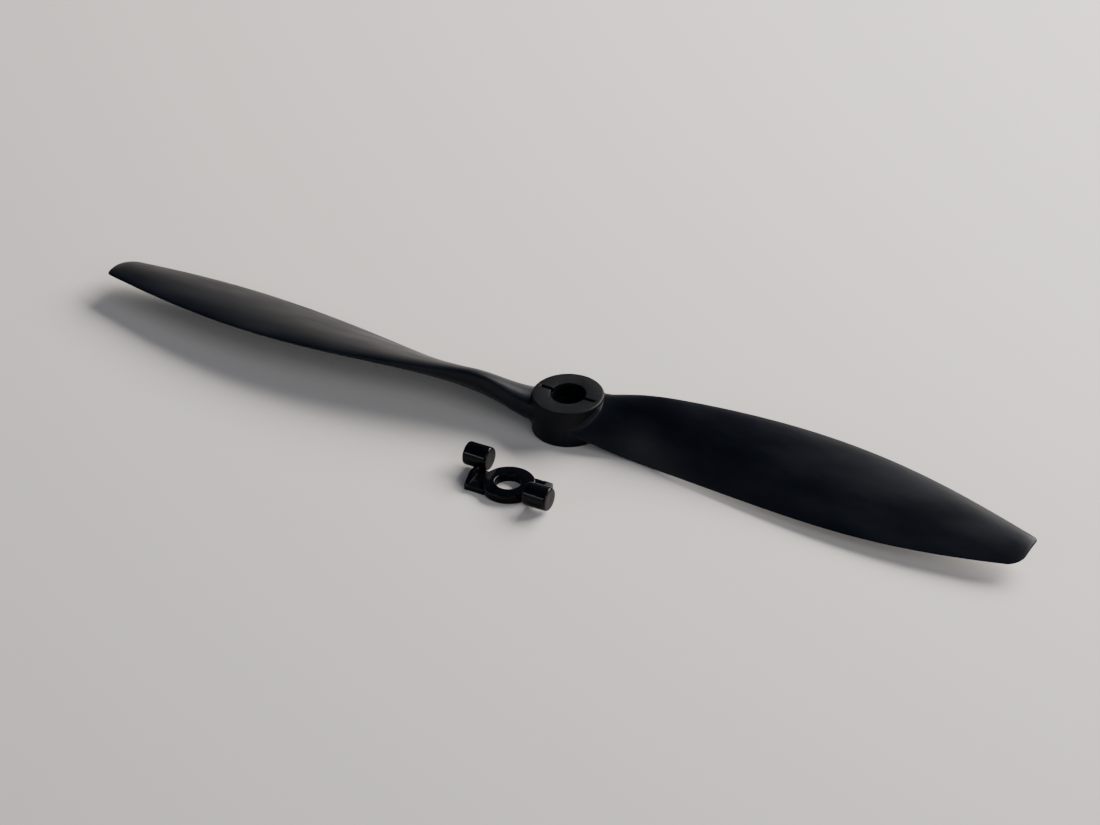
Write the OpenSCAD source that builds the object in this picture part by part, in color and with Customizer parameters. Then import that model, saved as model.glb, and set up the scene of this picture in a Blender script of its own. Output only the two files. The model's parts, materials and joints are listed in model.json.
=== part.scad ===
// Two-blade propeller lying flat on its hub, with its loose adapter piece beside it.
// The shaft axis is Z, the hub's bottom face is at Z = 0 and the right blade runs along +X.
// Seen from +Z the propeller turns counter-clockwise, so each blade's high edge leads.

/* [Propeller] */
// Tip-to-tip diameter
prop_d = 254; // [200:1:330]
// Distance that the blades' helix advances in one turn
prop_pitch = 142; // [110:1:180]

/* [Hub] */
// Outside diameter of the hub
hub_d = 17.7; // [15:0.1:20]
// Height of the hub
hub_h = 9.9; // [9:0.1:12]
// Bevel around the hub's two rims
hub_bevel = 0.5; // [0.2:0.1:0.8]
// Diameter of the shaft bore
bore_d = 6.4; // [5:0.1:7]
// Diameter of the recess in the hub's top face
recess_d = 8.8; // [7.6:0.1:9.6]
// Depth of the recess
recess_depth = 4; // [2:0.5:6]
// Width of the two key slots in the top face
slot_w = 1; // [0.4:0.1:1.2]
// Distance from the shaft axis to the outer end of a key slot
slot_reach = 7.4; // [6:0.1:7.6]
// Depth of the key slots
slot_depth = 1.2; // [0.5:0.1:2]

/* [Blades] */
// Leading edge's distance from the pitch axis at the hub
lead_root_w = 7; // [5:0.1:8]
// Leading edge's distance from the pitch axis at the tip
lead_tip_w = 3; // [2:0.1:5]
// How far the leading edge bulges out between the hub and the tip
lead_bulge = 8.5; // [6:0.1:10]
// How far the leading edge's bulge sits towards the tip, where 1 is halfway out
lead_shift = 1.1; // [1:0.05:1.8]
// Trailing edge's distance from the pitch axis at the hub
trail_root_w = 7.8; // [5:0.1:8]
// Trailing edge's distance from the pitch axis at the tip
trail_tip_w = 7; // [5:0.1:8]
// How far the trailing edge bulges out between the hub and the tip
trail_bulge = 5.3; // [3:0.1:7]
// How far the trailing edge's bulge sits towards the tip, where 1 is halfway out
trail_shift = 1.5; // [1:0.05:1.8]
// Blade angle where the blade leaves the hub
root_angle = 12; // [5:1:30]
// Radius where the blade reaches its full helix angle
helix_start_r = 25.5; // [20:0.5:40]
// Height of the pitch axis above the hub's bottom face
pitch_axis_z = 6; // [5:0.1:7]
// Thickness of the section at the blade's root
root_t = 3.3; // [2.6:0.1:6]
// Thickness of the section at the blade's tip
tip_t = 1.2; // [0.8:0.1:2]
// Extra depth of the underside's belly beside the hub
belly_t = 3.8; // [0:0.1:4]
// Distance over which the belly falls to about a third
belly_fade = 24; // [10:1:34]
// Camber of the section, as a part of the chord
camber = 0.035; // [0:0.005:0.06]
// Radius of the tip's rounded corner at the leading edge
lead_corner_r = 1; // [0.5:0.1:2]
// Radius of the tip's rounded corner at the trailing edge
trail_corner_r = 3.5; // [2:0.1:4]

/* [Adapter] */
// Adapter ring's centre beside the hub
adapter_pos = [0, -30]; // [-60:1:60]
// Outside diameter of the adapter ring
ring_d = 13; // [11:0.1:14]
// Hole through the adapter ring
ring_hole_d = 6.6; // [5:0.1:7]
// Thickness of the ring
ring_h = 2.4; // [2:0.1:4]
// Thickness of the arms' plates
arm_h = 1.6; // [1.2:0.1:2]
// Distance from the ring's centre to the outer end of an arm
arm_reach = 9.4; // [8:0.1:12]
// Distance from the ring's centre to an arm's long side
arm_side = 5.2; // [4:0.1:5.8]
// Distance that an arm reaches past the ring's centre line, under its peg
arm_tuck = 2.6; // [1.5:0.1:3.5]
// Thickness of the rib along an arm's outer end
rib_t = 1; // [0.6:0.1:1.5]
// Height of the rib beside its peg
rib_h = 3.8; // [3:0.1:4]
// Length over which the rib slopes down to the plate
rib_slope = 2.8; // [1:0.1:3.5]
// Diameter of the two pegs
peg_d = 5.9; // [5:0.1:7]
// Length of the two pegs
peg_len = 6.4; // [4:0.1:8]
// Right peg's centre from the ring's centre: outwards, across and up
peg_pos = [10.5, -4.2, 3.85]; // [-12:0.05:12]

/* [Hidden] */
$fn = 96;

prop_r = prop_d / 2;
hub_r = hub_d / 2;
cut = 0.1;

// The blades stay this far above the plane that the hub stands on.
lowest_z = 0.1;
root_r = 0.07 * prop_r;
thickness_fade = 2;
edge_t = 0.5;
stations = 34;
station_spread = 1.2;
tip_steps = 7;
half_points = 15;

// The rib's slope ends this far above the plate.
rib_foot_h = 0.2;

black = [0.05, 0.05, 0.055];
charcoal = [0.09, 0.09, 0.1];

function smooth(u) = let (v = min(1, max(0, u))) v * v * (3 - 2 * v);

// Part of the way from the blade's root to its tip
function span(x) = max(0, (x - root_r) / (prop_r - root_r));
// Part of the way through a tip corner of radius r
function corner(x, r) = max(0, (x - prop_r + r) / r);
function corner_inset(x, r) = r * (1 - sqrt(1 - pow(corner(x, r), 2)));

// An edge's distance from the pitch axis: straight from the hub to the tip, plus its bulge
function edge_w(root_w, tip_w, bulge, shift, x) = let (u = span(x))
    root_w + (tip_w - root_w) * u + bulge * sin(180 * pow(u, shift));
function lead_w(x) = edge_w(lead_root_w, lead_tip_w, lead_bulge, lead_shift, x)
    - corner_inset(x, lead_corner_r);
function trail_w(x) = edge_w(trail_root_w, trail_tip_w, trail_bulge, trail_shift, x)
    - corner_inset(x, trail_corner_r);

function helix_angle(x) = atan2(prop_pitch, 2 * PI * max(1, x));
function blade_angle(x) = let (s = smooth((x - root_r / 2) / (helix_start_r - root_r / 2)))
    s * helix_angle(x) + (1 - s) * root_angle;

function base_t(x) = tip_t + (root_t - tip_t) * pow(1 - span(x), thickness_fade);
function tip_thinning(x) = sqrt(1 - 0.8 * pow(corner(x, trail_corner_r), 2));
function belly(x) = belly_t * exp((hub_r - max(hub_r, x)) / belly_fade);

// Half thickness of a 1 thick aerofoil at the part c of its chord, from the leading edge
function aerofoil(c) = 5 * (0.2969 * sqrt(c) - 0.126 * c - 0.3516 * pow(c, 2)
    + 0.2843 * pow(c, 3) - 0.1036 * pow(c, 4));

// A point on the section at x, where a runs from 0 at the leading edge over the top and round
function section_point(x, a) = let (
    lead = lead_w(x),
    chord = lead + trail_w(x),
    c = (1 - cos(a)) / 2,
    side = a < 180 ? 1 : -1,
    fullness = edge_t / 2 + (side < 0 ? belly(x) : 0),
    half = base_t(x) * aerofoil(c) * side + fullness * sin(a),
    along = lead - chord * c,
    up = half * tip_thinning(x) + 4 * camber * chord * c * (1 - c),
    b = blade_angle(x)
) [x, along * cos(b) - up * sin(b), max(lowest_z, pitch_axis_z + along * sin(b) + up * cos(b))];

// Where the sections stand: from the shaft axis, close at the root, then round the tip's corners.
// The hub's wall trims off the part inside it.
body_end = prop_r - trail_corner_r;
section_x = [
    for (i = [0:stations - 1]) body_end * pow(i / (stations - 1), station_spread),
    for (i = [1:tip_steps]) body_end + trail_corner_r * sin(90 * i / tip_steps)
];

module blade_loft() {
    n = 2 * half_points;
    last = len(section_x) - 1;
    points = [for (x = section_x, i = [0:n - 1]) section_point(x, 360 * i / n)];
    skin = [for (s = [0:last - 1], i = [0:n - 1])
        [s * n + i, (s + 1) * n + i, (s + 1) * n + (i + 1) % n, s * n + (i + 1) % n]];
    root_cap = [[for (i = [0:n - 1]) i]];
    tip_cap = [[for (i = [0:n - 1]) last * n + n - 1 - i]];
    polyhedron(points, concat(skin, root_cap, tip_cap), convexity = 6);
}

module blade() {
    color(black)
    difference() {
        blade_loft();
        translate([0, 0, -hub_h])
            cylinder(r = hub_r, h = 3 * hub_h);
    }
}

module right_blade() {
    blade();
}

module left_blade() {
    rotate([0, 0, 180])
        blade();
}

module hub_blank() {
    rotate_extrude()
        polygon([
            [0, 0], [hub_r - hub_bevel, 0], [hub_r, hub_bevel],
            [hub_r, hub_h - hub_bevel], [hub_r - hub_bevel, hub_h], [0, hub_h]
        ]);
}

module key_slot() {
    translate([0, -slot_w / 2, hub_h - slot_depth])
        cube([slot_reach, slot_w, slot_depth + cut]);
}

module hub() {
    color(charcoal)
    difference() {
        hub_blank();
        translate([0, 0, -cut])
            cylinder(d = bore_d, h = hub_h + 2 * cut);
        translate([0, 0, hub_h - recess_depth])
            cylinder(d = recess_d, h = recess_depth + cut);
        for (turn = [0, 180])
            rotate([0, 0, turn])
                key_slot();
    }
}

// Puts a piece in the adapter's own frame; turn is 180 for the left-hand pieces.
module on_adapter(turn = 0) {
    translate([adapter_pos[0], adapter_pos[1], 0])
        rotate([0, 0, turn])
            children();
}

module peg_shape() {
    translate(peg_pos)
        rotate([0, 90, 0])
            cylinder(d = peg_d, h = peg_len, center = true);
}

// Side view of the rib: level beside the peg, then sloping down almost to the plate
module rib_outline() {
    polygon([
        [-arm_tuck, 0], [arm_side, 0], [arm_side, arm_h + rib_foot_h],
        [arm_side - rib_slope, rib_h], [-arm_tuck, rib_h]
    ]);
}

// The rib's outline over the whole arm, cut down to the plate everywhere but at the outer end
module arm_blank() {
    difference() {
        rotate([90, 0, 90])
            linear_extrude(arm_reach)
                rib_outline();
        translate([-cut, -arm_tuck - cut, arm_h])
            cube([arm_reach - rib_t + cut, arm_side + arm_tuck + 2 * cut, rib_h]);
    }
}

module arm_shape() {
    difference() {
        arm_blank();
        translate([0, 0, -cut])
            cylinder(d = ring_d, h = ring_h + 2 * cut);
        peg_shape();
    }
}

module adapter_ring() {
    color(black)
    on_adapter()
        difference() {
            cylinder(d = ring_d, h = ring_h);
            translate([0, 0, -cut])
                cylinder(d = ring_hole_d, h = ring_h + 2 * cut);
        }
}

module right_arm() {
    color(black)
    on_adapter()
        arm_shape();
}

module left_arm() {
    color(black)
    on_adapter(180)
        arm_shape();
}

module right_peg() {
    color(charcoal)
    on_adapter()
        peg_shape();
}

module left_peg() {
    color(charcoal)
    on_adapter(180)
        peg_shape();
}

hub();
right_blade();
left_blade();
adapter_ring();
right_arm();
left_arm();
right_peg();
left_peg();
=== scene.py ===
import json
import math

import bmesh
import bpy
from mathutils import Matrix, Vector


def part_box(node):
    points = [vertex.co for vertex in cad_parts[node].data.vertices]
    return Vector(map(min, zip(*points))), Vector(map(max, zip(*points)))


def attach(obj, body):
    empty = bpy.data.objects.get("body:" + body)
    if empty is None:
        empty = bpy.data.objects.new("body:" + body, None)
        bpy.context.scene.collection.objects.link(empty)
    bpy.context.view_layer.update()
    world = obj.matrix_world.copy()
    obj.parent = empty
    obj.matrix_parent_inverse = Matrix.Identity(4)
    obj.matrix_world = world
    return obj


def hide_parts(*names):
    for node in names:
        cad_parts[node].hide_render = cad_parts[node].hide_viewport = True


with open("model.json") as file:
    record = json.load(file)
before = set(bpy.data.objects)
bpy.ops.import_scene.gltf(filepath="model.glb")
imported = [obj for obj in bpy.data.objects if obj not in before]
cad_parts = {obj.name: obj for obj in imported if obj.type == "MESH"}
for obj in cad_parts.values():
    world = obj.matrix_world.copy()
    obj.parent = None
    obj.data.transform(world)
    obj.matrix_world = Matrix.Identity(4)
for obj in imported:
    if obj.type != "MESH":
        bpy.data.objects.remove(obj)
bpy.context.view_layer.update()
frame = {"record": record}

MM = 0.001
MOUNTS = {mount["name"]: mount for mount in frame["record"]["mounts"]}


def box_mm(node):
    low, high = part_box(node)
    return low / MM, high / MM


def mount_size(name, key):
    return MOUNTS[name]["dims"][key]


# ---------------------------------------------------------------- sizes, in mm, from the frame

HUB_LOW, HUB_HIGH = box_mm("hub")
BLADE_LOW, BLADE_HIGH = box_mm("right_blade")
RING_LOW, RING_HIGH = box_mm("adapter_ring")
PEG_LOW, PEG_HIGH = box_mm("right_peg")
ARM_LOW, ARM_HIGH = box_mm("right_arm")

PROP_R = BLADE_HIGH.x
HUB_R = HUB_HIGH.x
HUB_H = HUB_HIGH.z
BORE_R = mount_size("shaft_bore", "r_mm")
RECESS_R = mount_size("hub_recess", "r_mm")
RECESS_DEPTH = mount_size("hub_recess", "length_mm")

RING_CENTRE = (RING_LOW + RING_HIGH) / 2
RING_R = (RING_HIGH.x - RING_LOW.x) / 2
RING_H = RING_HIGH.z
RING_HOLE_R = mount_size("adapter_bore", "r_mm")
PEG_R = (PEG_HIGH.z - PEG_LOW.z) / 2
PEG_LEN = PEG_HIGH.x - PEG_LOW.x
PEG_CENTRE = (PEG_LOW + PEG_HIGH) / 2 - Vector((RING_CENTRE.x, RING_CENTRE.y, 0))
ARM_REACH = ARM_HIGH.x - RING_CENTRE.x
ARM_SIDE = ARM_HIGH.y - RING_CENTRE.y

# The blade's driving values, as in the CAD part
LEAD_ROOT_W, LEAD_TIP_W, LEAD_BULGE, LEAD_SHIFT = 7, 3, 8.5, 1.1
TRAIL_ROOT_W, TRAIL_TIP_W, TRAIL_BULGE, TRAIL_SHIFT = 7.8, 7, 5.3, 1.5
PROP_PITCH = 142
ROOT_ANGLE = 12
HELIX_START_R = 25.5
PITCH_AXIS_Z = 6
ROOT_T = 3.3
TIP_T = 1.2
BELLY_T = 3.8
BELLY_FADE = 24
CAMBER = 0.035
LEAD_CORNER_R = 1
TRAIL_CORNER_R = 3.5
EDGE_T = 0.5
LOWEST_Z = 0.1
ROOT_R = 0.07 * PROP_R

# How finely the smooth skins are cut
BLADE_COLUMNS = 120
BLADE_RINGS = 150
TURN_STEPS = 144


# ---------------------------------------------------------------- the blade's formulas


def smooth(u):
    v = min(1, max(0, u))
    return v * v * (3 - 2 * v)


def span(x):
    return max(0, (x - ROOT_R) / (PROP_R - ROOT_R))


def corner(x, radius):
    return min(1, max(0, (x - PROP_R + radius) / radius))


def corner_inset(x, radius):
    return radius * (1 - math.sqrt(1 - corner(x, radius) ** 2))


def edge_width(root_w, tip_w, bulge, shift, x):
    """An edge's distance from the pitch axis: straight from the hub to the tip, plus its bulge."""
    u = span(x)
    return root_w + (tip_w - root_w) * u + bulge * math.sin(math.pi * min(1, u) ** shift)


def lead_width(x):
    edge = edge_width(LEAD_ROOT_W, LEAD_TIP_W, LEAD_BULGE, LEAD_SHIFT, x)
    return edge - corner_inset(x, LEAD_CORNER_R)


def trail_width(x):
    edge = edge_width(TRAIL_ROOT_W, TRAIL_TIP_W, TRAIL_BULGE, TRAIL_SHIFT, x)
    return edge - corner_inset(x, TRAIL_CORNER_R)


def blade_angle(x):
    s = smooth((x - ROOT_R / 2) / (HELIX_START_R - ROOT_R / 2))
    helix = math.atan2(PROP_PITCH, 2 * math.pi * max(1, x))
    return s * helix + (1 - s) * math.radians(ROOT_ANGLE)


def belly(x):
    return BELLY_T * math.exp((HUB_R - max(HUB_R, x)) / BELLY_FADE)


def aerofoil(c):
    return 5 * (0.2969 * math.sqrt(c) - 0.126 * c - 0.3516 * c**2 + 0.2843 * c**3 - 0.1036 * c**4)


def soft_floor(z, floor=LOWEST_Z, softness=0.25):
    """z where it is well above the floor, easing to the floor below it."""
    rise = (z - floor) / softness
    return z if rise > 30 else floor + softness * math.log1p(math.exp(rise))


def section_point(x, a, end_scale=1.0):
    """A point on the blade's section at x; a runs from 0 at the leading edge over the top and round."""
    lead = lead_width(x)
    chord = lead + trail_width(x)
    c = min(1, max(0, (1 - math.cos(a)) / 2))
    side = 1 if a < math.pi else -1
    fullness = EDGE_T / 2 + (belly(x) if side < 0 else 0)
    base = TIP_T + (ROOT_T - TIP_T) * (1 - span(x)) ** 2
    half = base * aerofoil(c) * side + fullness * math.sin(a)
    along = lead - chord * c
    thin = math.sqrt(1 - 0.8 * corner(x, TRAIL_CORNER_R) ** 2) * end_scale
    up = half * thin + 4 * CAMBER * chord * c * (1 - c)
    b = blade_angle(x)
    z = PITCH_AXIS_Z + along * math.sin(b) + up * math.cos(b)
    return Vector((x, along * math.cos(b) - up * math.sin(b), soft_floor(z)))


# ---------------------------------------------------------------- mesh helpers


def make_object(name, points, faces):
    """A smooth mesh object from points in mm."""
    mesh = bpy.data.meshes.new(name)
    mesh.from_pydata([Vector(p) * MM for p in points], [], faces)
    bm = bmesh.new()
    bm.from_mesh(mesh)
    bmesh.ops.remove_doubles(bm, verts=bm.verts, dist=1e-7)
    bmesh.ops.recalc_face_normals(bm, faces=bm.faces)
    bm.to_mesh(mesh)
    bm.free()
    mesh.shade_smooth()
    piece = bpy.data.objects.new(name, mesh)
    bpy.context.scene.collection.objects.link(piece)
    return piece


def ring_faces(rings, columns, closed=False):
    """Quads between rings of equal length; closed joins the last ring to the first."""
    pairs = rings if closed else rings - 1
    return [
        (
            r * columns + i,
            (r + 1) % rings * columns + i,
            (r + 1) % rings * columns + (i + 1) % columns,
            r * columns + (i + 1) % columns,
        )
        for r in range(pairs)
        for i in range(columns)
    ]


def revolved(name, profile, place):
    """A closed profile of (radius, height) turned about the height axis, then placed by a matrix."""
    points = [
        place @ Vector((r * math.cos(t), r * math.sin(t), h))
        for r, h in profile
        for t in (2 * math.pi * i / TURN_STEPS for i in range(TURN_STEPS))
    ]
    return make_object(name, points, ring_faces(len(profile), TURN_STEPS, closed=True))


def rounded(corners, steps=5):
    """A closed outline with each corner (x, y, radius) rounded."""
    outline = []
    for k, (x, y, radius) in enumerate(corners):
        here = Vector((x, y))
        before = Vector(corners[k - 1][:2]) - here
        after = Vector(corners[(k + 1) % len(corners)][:2]) - here
        start = here + before.normalized() * radius
        end = here + after.normalized() * radius
        for i in range(steps + 1):
            t = i / steps
            p = start * (1 - t) ** 2 + here * 2 * t * (1 - t) + end * t**2
            outline.append((p.x, p.y))
    return outline


def baked(piece):
    """Replaces a piece's mesh by what its modifiers make of it."""
    view = bpy.context.evaluated_depsgraph_get()
    mesh = bpy.data.meshes.new_from_object(piece.evaluated_get(view))
    piece.modifiers.clear()
    piece.data = mesh
    mesh.shade_smooth()
    return piece


def cut_by(piece, cutter):
    modifier = piece.modifiers.new("cut", "BOOLEAN")
    modifier.operation = "DIFFERENCE"
    modifier.solver = "EXACT"
    modifier.object = cutter
    baked(piece)
    bpy.data.objects.remove(cutter)
    return piece


def soften(piece, width, segments=3, angle=40):
    modifier = piece.modifiers.new("soften", "BEVEL")
    modifier.width = width * MM
    modifier.segments = segments
    modifier.limit_method = "ANGLE"
    modifier.angle_limit = math.radians(angle)
    modifier.use_clamp_overlap = True
    return baked(piece)


# ---------------------------------------------------------------- blades


def wall_start(a):
    """Where a column of the blade's skin meets the hub's wall."""
    low, high = 0.0, 1.5 * HUB_R
    for _ in range(40):
        middle = (low + high) / 2
        if section_point(middle, a).xy.length < HUB_R:
            low = middle
        else:
            high = middle
    return high


# The concave fillet where a blade meets the hub, and how far its skin reaches into the wall
FILLET = 1.1
FILLET_STEPS = 6
RIM_GAP = 0.75
WALL_BITE = 0.3


def fillet_column(a, x0):
    """Points from inside the hub's wall, over the concave fillet, to the blade's skin."""
    meet = section_point(x0, a)
    step = 0.02
    side = section_point(x0, a + step) - section_point(x0, a - step)
    along = section_point(x0 + step, a) - meet
    normal = along.cross(side).normalized()
    wall = Vector((meet.x, meet.y, 0)).normalized()
    if normal.dot(meet - Vector((meet.x, 0, PITCH_AXIS_Z))) < 0:
        normal = -normal
    away = (normal - wall * normal.dot(wall)).normalized()
    room = FILLET
    if away.z > 0:
        room = min(room, max(0, HUB_H - RIM_GAP - meet.z) / away.z)
    if away.z < 0:
        room = min(room, max(0, meet.z - LOWEST_Z) / -away.z)
    foot = meet + away * room
    foot_xy = foot.xy.normalized() * HUB_R
    foot = Vector((foot_xy.x, foot_xy.y, foot.z))
    out = section_point(x0 + room, a)
    inner_xy = foot.xy.normalized() * (HUB_R - WALL_BITE)
    column = [Vector((inner_xy.x, inner_xy.y, foot.z))]
    for i in range(FILLET_STEPS + 1):
        t = i / FILLET_STEPS
        column.append(foot * (1 - t) ** 2 + meet * 2 * t * (1 - t) + out * t**2)
    return column, x0 + room


def blade_column(a):
    """One line of the skin from the hub's wall to the blade's tip."""
    column, x0 = fillet_column(a, wall_start(a))
    body_end = PROP_R - TRAIL_CORNER_R
    for i in range(1, BLADE_RINGS):
        x = x0 + (body_end - x0) * (i / (BLADE_RINGS - 1)) ** 1.3
        column.append(section_point(x, a))
    tip_steps = 12
    for i in range(1, tip_steps + 1):
        x = body_end + TRAIL_CORNER_R * math.sin(math.pi / 2 * i / tip_steps)
        t = max(0, (x - PROP_R + TIP_T / 4) / (TIP_T / 4))
        column.append(section_point(x, a, max(0.12, math.sqrt(1 - min(1, t) ** 2))))
    return column


def blade_skin(name, turn):
    columns = [blade_column(2 * math.pi * i / BLADE_COLUMNS) for i in range(BLADE_COLUMNS)]
    rings = len(columns[0])
    points = [columns[i][r] for r in range(rings) for i in range(BLADE_COLUMNS)]
    faces = ring_faces(rings, BLADE_COLUMNS)
    last = (rings - 1) * BLADE_COLUMNS
    faces.append(tuple(last + i for i in range(BLADE_COLUMNS)))
    points.append(Vector((HUB_R - WALL_BITE, 0, PITCH_AXIS_Z)))
    faces += [(i, (i + 1) % BLADE_COLUMNS, len(points) - 1) for i in range(BLADE_COLUMNS)]
    spin = Matrix.Rotation(math.radians(turn), 4, "Z")
    return make_object(name, [spin @ p for p in points], faces)


# ---------------------------------------------------------------- hub


SLOT_W = 1
SLOT_REACH = 7.4
SLOT_DEPTH = 1.2


def hub_profile():
    recess_floor = HUB_H - RECESS_DEPTH
    return rounded([
        (BORE_R, 0, 0.2), (HUB_R, 0, 0.45), (HUB_R, HUB_H, 0.5), (RECESS_R, HUB_H, 0.2),
        (RECESS_R, recess_floor, 0.25), (BORE_R, recess_floor, 0.15),
    ])


def slot_cutter():
    """A bar through both key slots, with rounded ends."""
    outline = rounded([
        (-SLOT_REACH, -SLOT_W / 2, SLOT_W / 4), (SLOT_REACH, -SLOT_W / 2, SLOT_W / 4),
        (SLOT_REACH, SLOT_W / 2, SLOT_W / 4), (-SLOT_REACH, SLOT_W / 2, SLOT_W / 4),
    ])
    n = len(outline)
    levels = (HUB_H - SLOT_DEPTH, HUB_H + 1)
    points = [(x, y, z) for z in levels for x, y in outline]
    faces = ring_faces(2, n) + [tuple(range(n)), tuple(range(n, 2 * n))]
    return make_object("slot_cutter", points, faces)


def hub_body():
    hub = revolved("hub_body", hub_profile(), Matrix.Identity(4))
    cut_by(hub, slot_cutter())
    return soften(hub, 0.1, segments=2, angle=50)


# ---------------------------------------------------------------- adapter


def on_adapter(turn):
    centre = Matrix.Translation((RING_CENTRE.x, RING_CENTRE.y, 0))
    return centre @ Matrix.Rotation(math.radians(turn), 4, "Z")


def ring_body():
    profile = rounded([
        (RING_HOLE_R, 0, 0.3), (RING_R, 0, 0.4), (RING_R, RING_H, 0.45), (RING_HOLE_R, RING_H, 0.35),
    ])
    return revolved("adapter_ring_body", profile, on_adapter(0))


def peg_body(name, turn):
    half = PEG_LEN / 2
    profile = rounded([
        (0.02, -half, 0.005), (PEG_R, -half, 0.55), (PEG_R, half, 0.55), (0.02, half, 0.005),
    ])
    place = on_adapter(turn) @ Matrix.Translation(PEG_CENTRE) @ Matrix.Rotation(math.pi / 2, 4, "Y")
    return revolved(name, profile, place)


ARM_PLATE_H = 1.6
RIB_T = 1
RIB_H = ARM_HIGH.z
RIB_SLOPE = 2.8


def prism(name, outline, start, length, place):
    """A closed outline of (y, z) drawn out along x from start."""
    points = [place @ Vector((x, y, z)) for x in (start, start + length) for y, z in outline]
    n = len(outline)
    return make_object(name, points, ring_faces(2, n) + [tuple(range(n)), tuple(range(n, 2 * n))])


def arm_body(name, turn):
    """The arm's plate, with the rib that stands along its outer end, rounded together."""
    place = on_adapter(turn)
    inner = RING_R * 0.62
    tuck = PEG_CENTRE.y + PEG_R * 0.62
    bottom = rounded([
        (tuck, 0, 0.3), (ARM_SIDE, 0, 0.3), (ARM_SIDE, ARM_PLATE_H, 0.45),
        (ARM_SIDE - RIB_SLOPE, RIB_H, 0.6), (tuck, RIB_H, 0.3),
    ])
    arm = prism(name, bottom, inner, ARM_REACH - inner, place)
    low, high = tuck - 1, ARM_SIDE + 1
    above = [(low, ARM_PLATE_H), (high, ARM_PLATE_H), (high, 2 * RIB_H), (low, 2 * RIB_H)]
    cut_by(arm, prism("above_plate", above, 0, ARM_REACH - RIB_T, place))
    return soften(arm, 0.3)


# ---------------------------------------------------------------- materials


def new_material(name):
    material = bpy.data.materials.new(name)
    material.use_nodes = True
    nodes = material.node_tree.nodes
    nodes.clear()
    return material, nodes, material.node_tree.links


def noise(nodes, links, vector, scale, detail=3.0, roughness=0.5):
    node = nodes.new("ShaderNodeTexNoise")
    node.inputs["Scale"].default_value = scale
    node.inputs["Detail"].default_value = detail
    node.inputs["Roughness"].default_value = roughness
    links.new(vector, node.inputs["Vector"])
    return node.outputs["Fac"]


def ramp(nodes, links, value, low, high, low_at=0.3, high_at=0.7):
    node = nodes.new("ShaderNodeMapRange")
    node.interpolation_type = "SMOOTHSTEP"
    node.inputs["From Min"].default_value = low_at
    node.inputs["From Max"].default_value = high_at
    node.inputs["To Min"].default_value = low
    node.inputs["To Max"].default_value = high
    links.new(value, node.inputs["Value"])
    return node.outputs["Result"]


def mixed(nodes, links, factor, dark, light):
    node = nodes.new("ShaderNodeMix")
    node.data_type = "RGBA"
    node.inputs["A"].default_value = (*dark, 1)
    node.inputs["B"].default_value = (*light, 1)
    links.new(factor, node.inputs["Factor"])
    return node.outputs["Result"]


def bump(nodes, links, height, distance, strength=1.0, normal=None):
    node = nodes.new("ShaderNodeBump")
    node.inputs["Distance"].default_value = distance
    node.inputs["Strength"].default_value = strength
    links.new(height, node.inputs["Height"])
    if normal is not None:
        links.new(normal, node.inputs["Normal"])
    return node.outputs["Normal"]


def moulded_black(name, dark, light, rough, grain, gloss, flow=(1, 1, 1)):
    """Black nylon as moulded: soft mottle, streaks along flow, and a fine grain."""
    material, nodes, links = new_material(name)
    shader = nodes.new("ShaderNodeBsdfPrincipled")
    output = nodes.new("ShaderNodeOutputMaterial")
    links.new(shader.outputs["BSDF"], output.inputs["Surface"])
    place = nodes.new("ShaderNodeTexCoord")
    stretch = nodes.new("ShaderNodeMapping")
    stretch.inputs["Scale"].default_value = flow
    links.new(place.outputs["Object"], stretch.inputs["Vector"])
    mottle = noise(nodes, links, stretch.outputs["Vector"], 160, detail=5)
    shade = ramp(nodes, links, mottle, 0, 1)
    links.new(mixed(nodes, links, shade, dark, light), shader.inputs["Base Color"])
    links.new(ramp(nodes, links, mottle, rough[0], rough[1]), shader.inputs["Roughness"])
    fine = noise(nodes, links, place.outputs["Object"], 5200, detail=2)
    waves = noise(nodes, links, stretch.outputs["Vector"], 420, detail=2)
    wavy = bump(nodes, links, waves, 0.00004)
    links.new(bump(nodes, links, fine, grain, normal=wavy), shader.inputs["Normal"])
    shader.inputs["IOR"].default_value = 1.5
    shader.inputs["Specular IOR Level"].default_value = gloss
    return material


def floor_material():
    """Plain pale paper."""
    material, nodes, links = new_material("floor_paper")
    shader = nodes.new("ShaderNodeBsdfPrincipled")
    output = nodes.new("ShaderNodeOutputMaterial")
    links.new(shader.outputs["BSDF"], output.inputs["Surface"])
    shader.inputs["Base Color"].default_value = (0.74, 0.7, 0.66, 1)
    shader.inputs["Roughness"].default_value = 0.85
    shader.inputs["Specular IOR Level"].default_value = 0.1
    return material


# ---------------------------------------------------------------- stage, lights, camera


VIEW_AZIMUTH = math.radians(29)
VIEW_ELEVATION = math.radians(34.4)
VIEW_ROLL = math.radians(-0.55)
CAMERA_DISTANCE = 5
PICTURE_WIDTH = 0.2667

# Where the middle of the picture lies from the shaft axis, to the picture's right and up
PICTURE_RIGHT = -0.0044
PICTURE_UP = 0.0036
FLOOR_REACH = 3.0


def view_back():
    flat = math.cos(VIEW_ELEVATION)
    return Vector((math.sin(VIEW_AZIMUTH) * flat, -math.cos(VIEW_AZIMUTH) * flat, math.sin(VIEW_ELEVATION)))


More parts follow.
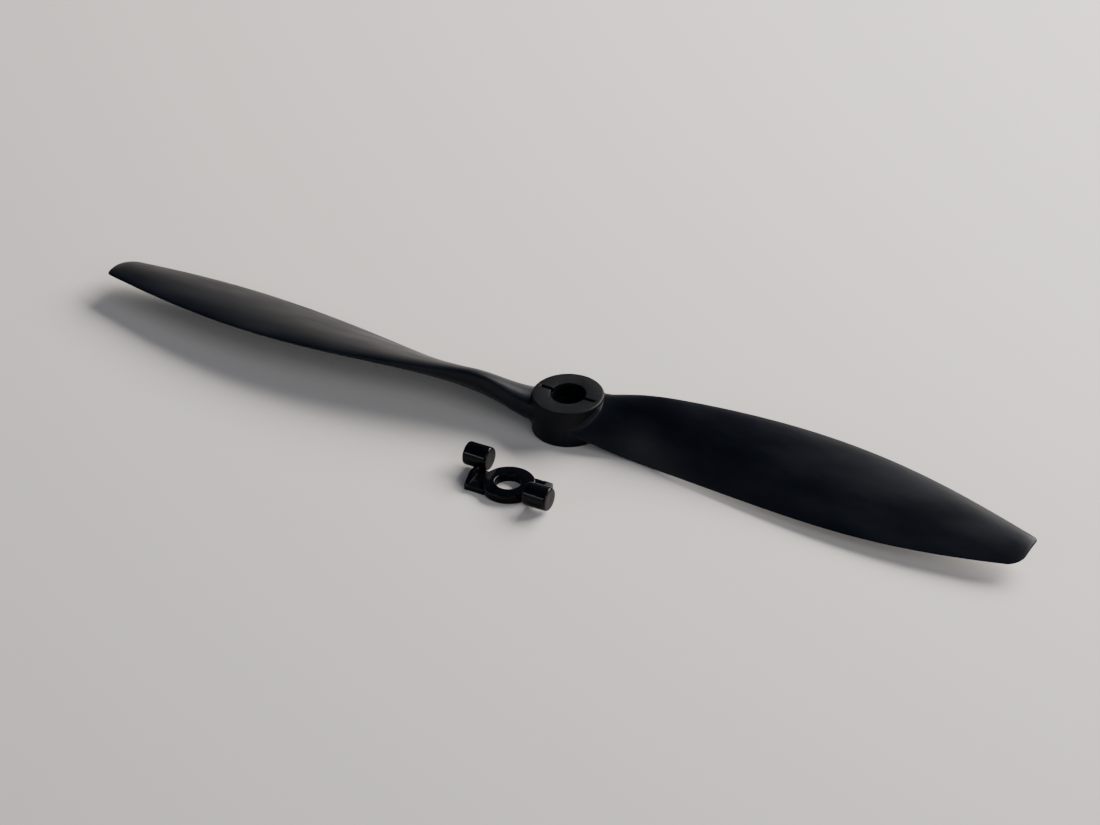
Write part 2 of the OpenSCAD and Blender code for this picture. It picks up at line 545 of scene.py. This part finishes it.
def add_camera():
    data = bpy.data.cameras.new("camera")
    data.sensor_width = 36
    data.lens = data.sensor_width * CAMERA_DISTANCE / PICTURE_WIDTH
    data.clip_start, data.clip_end = 0.05, 20
    camera = bpy.data.objects.new("camera", data)
    bpy.context.scene.collection.objects.link(camera)
    back = view_back()
    right = Vector((math.cos(VIEW_AZIMUTH), math.sin(VIEW_AZIMUTH), 0))
    up = back.cross(right)
    target = right * PICTURE_RIGHT + up * PICTURE_UP
    turn = Matrix((right, up, back)).transposed().to_4x4() @ Matrix.Rotation(VIEW_ROLL, 4, "Z")
    camera.matrix_world = Matrix.Translation(target + back * CAMERA_DISTANCE) @ turn
    bpy.context.scene.camera = camera


def add_floor():
    far = FLOOR_REACH / MM
    corners = [(-far, -far, 0), (far, -far, 0), (far, far, 0), (-far, far, 0)]
    floor = make_object("floor", corners, [(0, 1, 2, 3)])
    floor.data.materials.append(floor_material())


def add_area(name, place, target, size, power, colour):
    data = bpy.data.lights.new(name, "AREA")
    data.shape = "RECTANGLE"
    data.size, data.size_y = size
    data.energy = power
    data.color = colour
    light = bpy.data.objects.new(name, data)
    bpy.context.scene.collection.objects.link(light)
    light.location = place
    light.rotation_euler = (Vector(target) - Vector(place)).to_track_quat("-Z", "Y").to_euler()


def add_world():
    """Bright near the horizon and dim overhead."""
    world = bpy.data.worlds.new("studio")
    world.use_nodes = True
    nodes, links = world.node_tree.nodes, world.node_tree.links
    place = nodes.new("ShaderNodeTexCoord")
    height = nodes.new("ShaderNodeSeparateXYZ")
    links.new(place.outputs["Generated"], height.inputs["Vector"])
    fall = ramp(nodes, links, height.outputs["Z"], 0, 1, 0.0, 0.32)
    background = nodes["Background"]
    links.new(mixed(nodes, links, fall, (1.0, 0.9, 0.7), (0.05, 0.06, 0.09)), background.inputs["Color"])
    background.inputs["Strength"].default_value = 0.9
    bpy.context.scene.world = world


def add_lights():
    add_area("key_softbox", (0.25, 0.55, 0.4), (0.02, 0.1, 0), (0.8, 0.4), 14, (1.0, 0.97, 0.93))
    add_area("side_softbox", (1.1, -0.5, 0.9), (0, 0, 0), (1.0, 0.8), 6, (0.96, 0.98, 1.0))
    add_area("front_strip", (-0.48, -0.99, 0.48), (0, -0.02, 0), (0.5, 0.14), 2.0, (0.8, 0.9, 1.0))


# ---------------------------------------------------------------- putting it together


def finish_piece(piece, body, slot, material, *nodes):
    piece.data.materials.clear()
    piece.data.materials.append(material)
    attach(piece, body)
    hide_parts(*nodes)


add_camera()
add_world()
add_lights()
add_floor()

blade_black = moulded_black(
    "blade_nylon", dark=(0.003, 0.004, 0.0075), light=(0.006, 0.0075, 0.0115),
    rough=(0.36, 0.46), grain=0.000012, gloss=0.14, flow=(0.35, 1, 1),
)
hub_black = moulded_black(
    "hub_nylon", dark=(0.0026, 0.0032, 0.0048), light=(0.0054, 0.0062, 0.0085),
    rough=(0.42, 0.52), grain=0.00003, gloss=0.12,
)
adapter_black = moulded_black(
    "adapter_nylon", dark=(0.001, 0.001, 0.002), light=(0.003, 0.003, 0.0045),
    rough=(0.13, 0.19), grain=0.000006, gloss=0.12,
)

for side, turn in (("right", 0), ("left", 180)):
    blade = blade_skin(side + "_blade_skin", turn)
    finish_piece(blade, "propeller", "blade_plastic", blade_black, side + "_blade")
finish_piece(hub_body(), "propeller", "hub_plastic", hub_black, "hub")
finish_piece(ring_body(), "adapter", "adapter_plastic", adapter_black, "adapter_ring")
for side, turn in (("right", 0), ("left", 180)):
    arm = arm_body(side + "_arm_body", turn)
    finish_piece(arm, "adapter", "adapter_plastic", adapter_black, side + "_arm")
    peg = peg_body(side + "_peg_body", turn)
    finish_piece(peg, "adapter", "adapter_plastic", adapter_black, side + "_peg")
